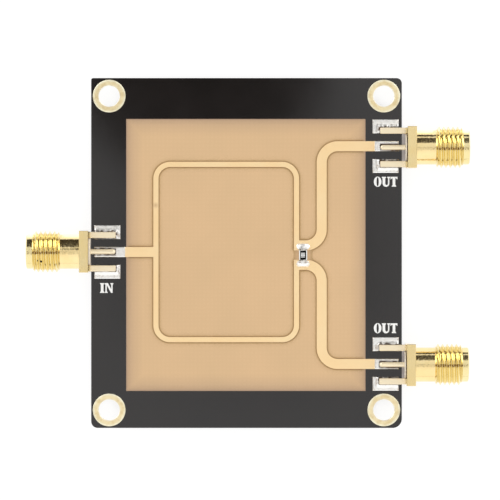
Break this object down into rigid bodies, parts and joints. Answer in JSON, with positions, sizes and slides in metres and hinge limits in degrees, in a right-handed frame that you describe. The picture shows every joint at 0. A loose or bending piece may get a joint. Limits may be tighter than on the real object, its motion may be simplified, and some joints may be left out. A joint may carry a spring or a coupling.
{
  "type": "rf power splitter",
  "caption": "Flat circuit-board power splitter with threaded coaxial jacks on its edges, an etched gold loop, a chip resistor and plated mounting holes.",
  "frame": {"origin": "centre of the four mounting holes, on the board's underside", "axes": "+X from the input jack to the output edge, +Y to the first output, +Z out of the etched face"},
  "size_m": [0.0676, 0.0536, 0.0063],
  "materials": {
    "laminate": "bare glass-fibre epoxy laminate",
    "copper": "rolled copper",
    "mask": "black solder mask, satin",
    "etched_gold": "immersion gold over copper, satin",
    "chip_ceramic": "white alumina",
    "chip_coat": "dark glass coat",
    "tin": "matt tin",
    "solder": "bright solder",
    "jack_gold": "bright gold plating over brass",
    "bead": "white fluoropolymer"
  },
  "bodies": {
    "root": {"laminate": "laminate", "ground_plane": "copper", "bottom_mask": "mask", "top_mask": "mask", "microstrip": "etched_gold", "eyelet_upper_left": "etched_gold", "eyelet_upper_right": "etched_gold", "eyelet_lower_left": "etched_gold", "eyelet_lower_right": "etched_gold", "input_ground_pads": "etched_gold", "output_1_ground_pads": "etched_gold", "output_2_ground_pads": "etched_gold", "resistor_ceramic": "chip_ceramic", "resistor_coat": "chip_coat", "resistor_cap_upper": "tin", "resistor_cap_lower": "tin", "resistor_solder": "solder", "input_leg_solder": "solder", "input_pin_solder": "solder", "output_1_leg_solder": "solder", "output_1_pin_solder": "solder", "output_2_leg_solder": "solder", "output_2_pin_solder": "solder", "input_jack": "jack_gold", "input_contact": "jack_gold", "output_1_jack": "jack_gold", "output_1_contact": "jack_gold", "output_2_jack": "jack_gold", "output_2_contact": "jack_gold", "input_insulator": "bead", "output_1_insulator": "bead", "output_2_insulator": "bead"}
  },
  "joints": []
}
